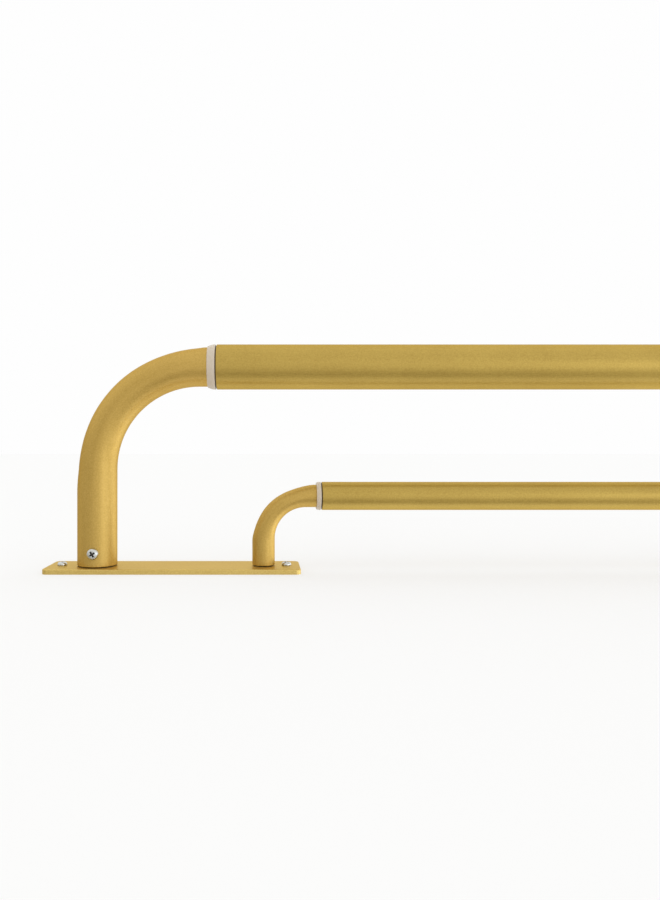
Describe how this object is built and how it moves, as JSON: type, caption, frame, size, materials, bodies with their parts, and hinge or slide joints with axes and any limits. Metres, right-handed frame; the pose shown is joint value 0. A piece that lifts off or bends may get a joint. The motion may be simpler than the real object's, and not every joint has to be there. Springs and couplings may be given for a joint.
{
  "type": "double curtain pole",
  "caption": "Gold telescopic double curtain pole: wide and narrow tubes with bent ends that wrap back to flat wall plates.",
  "frame": {"origin": "middle of the left wall plate's back, on the wall", "axes": "+X along the poles from the left end to the right, +Z out from the wall, Y across the plates"},
  "size_m": [0.7438, 0.03, 0.1569],
  "materials": {
    "pole_paint": "satin metallic gold paint",
    "plate_paint": "satin metallic gold paint",
    "collar_plastic": "milky white, slightly see-through",
    "bush_plastic": "milky white",
    "screw_steel": "bright plated",
    "post_metal": "die-cast, dull"
  },
  "bodies": {
    "left_end": {"left_wall_plate": "plate_paint", "left_outer_wall_screw": "screw_steel", "left_inner_wall_screw": "screw_steel", "left_front_post": "post_metal", "left_front_post_screw": "screw_steel", "left_front_end_tube": "pole_paint", "left_front_lock_screw": "screw_steel", "left_front_tail_bush": "bush_plastic", "left_back_post": "post_metal", "left_back_post_screw": "screw_steel", "left_back_end_tube": "pole_paint", "left_back_lock_screw": "screw_steel", "left_back_tail_bush": "bush_plastic"},
    "right_end": {"right_wall_plate": "plate_paint", "right_outer_wall_screw": "screw_steel", "right_inner_wall_screw": "screw_steel", "right_front_post": "post_metal", "right_front_post_screw": "screw_steel", "right_front_end_tube": "pole_paint", "right_front_lock_screw": "screw_steel", "right_front_tail_bush": "bush_plastic", "right_back_post": "post_metal", "right_back_post_screw": "screw_steel", "right_back_end_tube": "pole_paint", "right_back_lock_screw": "screw_steel", "right_back_tail_bush": "bush_plastic"},
    "front_tube": {"front_centre_tube": "pole_paint", "left_front_collar": "collar_plastic", "right_front_collar": "collar_plastic"},
    "back_tube": {"back_centre_tube": "pole_paint", "left_back_collar": "collar_plastic", "right_back_collar": "collar_plastic"}
  },
  "joints": [
    {"name": "front_left_slide", "type": "slide", "parent": "left_end", "child": "front_tube", "axis": [1, 0, 0], "range_m": [0, 0.178]},
    {"name": "front_right_slide", "type": "slide", "parent": "front_tube", "child": "right_end", "axis": [1, 0, 0], "range_m": [0, 0.178]},
    {"name": "back_left_slide", "type": "slide", "parent": "left_end", "child": "back_tube", "axis": [1, 0, 0], "range_m": [0, 0.178]}
  ],
  "couplings": [
    {"joint": "back_left_slide", "follows": "front_left_slide", "ratio": 1}
  ]
}
